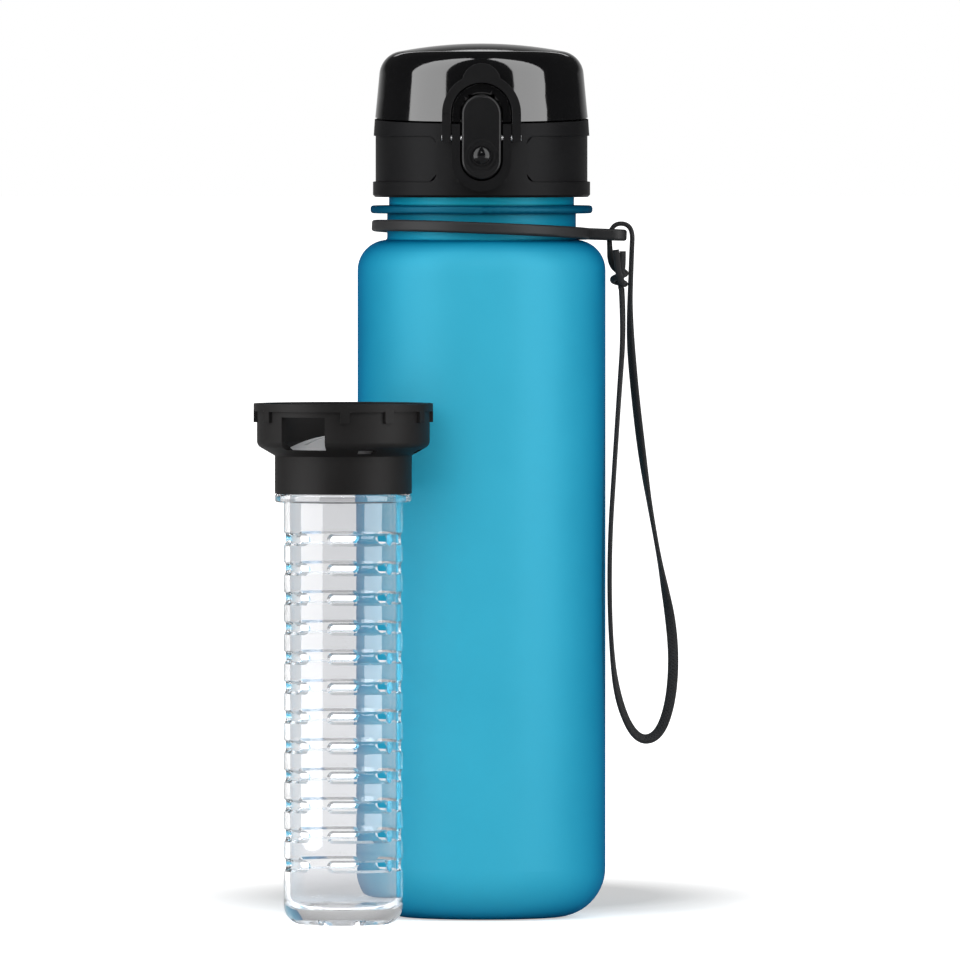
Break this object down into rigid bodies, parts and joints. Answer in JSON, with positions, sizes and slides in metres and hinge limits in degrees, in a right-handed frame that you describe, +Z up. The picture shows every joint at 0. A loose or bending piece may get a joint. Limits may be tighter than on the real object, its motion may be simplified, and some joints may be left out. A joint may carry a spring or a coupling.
{
  "type": "fruit infuser water bottle",
  "caption": "Frosted blue sports bottle with a locking flip-top screw lid, neck ring and wrist lanyard, and a slotted clear infuser tube with a black strainer head standing beside it.",
  "frame": {"origin": "centre of the bottle's base, on the surface it stands on", "axes": "+Z up the bottle's axis, -Y out of the front with the release button, +X towards the lanyard tab"},
  "size_m": [0.1103, 0.1025, 0.2289],
  "materials": {
    "bottle_blue": "satin frosted, translucent",
    "lid_black": "fine matte",
    "cover_black": "high gloss",
    "button_black": "semi gloss",
    "silicone": "translucent white silicone",
    "steel": "drawn wire",
    "cord_black": "flat woven cord",
    "infuser_clear": "clear, polished",
    "strainer_grey": "satin"
  },
  "bodies": {
    "bottle": {"bottle_body": "bottle_blue"},
    "strap": {"carry_ring": "lid_black", "lanyard_cord": "cord_black", "lanyard_knot": "cord_black"},
    "lid_seal": {"neck_gasket": "silicone"},
    "lid": {"lid_collar": "lid_black", "hinge_pin": "steel", "hinge_spring": "steel", "latch_pin": "steel", "button_spring": "steel"},
    "cover": {"flip_cover": "cover_black", "cover_liner": "lid_black", "spout_seal": "silicone"},
    "button": {"release_button": "button_black"},
    "lock": {"lock_loop": "lid_black"},
    "infuser": {"infuser_tube": "infuser_clear"},
    "strainer": {"strainer_disc": "strainer_grey"},
    "head": {"infuser_head": "lid_black"}
  },
  "joints": [
    {"name": "strap_swivel", "type": "hinge", "parent": "bottle", "child": "strap", "pos_m": [0, 0, 0.1801], "axis": [0, 0, 1], "range_deg": [-85, 190]},
    {"name": "lid_lift", "type": "slide", "parent": "bottle", "child": "lid_seal", "axis": [0, 0, 1], "range_m": [0, 0.18]},
    {"name": "lid_turn", "type": "hinge", "parent": "lid_seal", "child": "lid", "pos_m": [0, 0, 0.2], "axis": [0, 0, 1], "range_deg": [0, 540]},
    {"name": "cover_flip", "type": "hinge", "parent": "lid", "child": "cover", "pos_m": [0, 0.0308, 0.2104], "axis": [-1, 0, 0], "range_deg": [0, 125], "deforming": ["hinge_spring"]},
    {"name": "button_press", "type": "hinge", "parent": "lid", "child": "button", "pos_m": [0, -0.0293, 0.20425], "axis": [1, 0, 0], "range_deg": [0, 5.5], "stiffness_Nm_per_rad": 0.2, "deforming": ["button_spring"]},
    {"name": "lock_swing", "type": "hinge", "parent": "lid", "child": "lock", "pos_m": [0, -0.0293, 0.20425], "axis": [1, 0, 0], "range_deg": [0, 165]},
    {"name": "infuser_lift", "type": "slide", "parent": "bottle", "child": "infuser", "axis": [0, 0, 1], "range_m": [0, 0.05]},
    {"name": "head_rise", "type": "slide", "parent": "infuser", "child": "strainer", "axis": [0, 0, 1], "range_m": [0, 0.01]},
    {"name": "head_turn", "type": "hinge", "parent": "strainer", "child": "head", "pos_m": [-0.0359, -0.04584, 0.12], "axis": [0, 0, 1], "range_deg": [0, 900]}
  ],
  "couplings": [
    {"joint": "head_rise", "follows": "head_turn", "m_per_rad": 0.00063662}
  ]
}
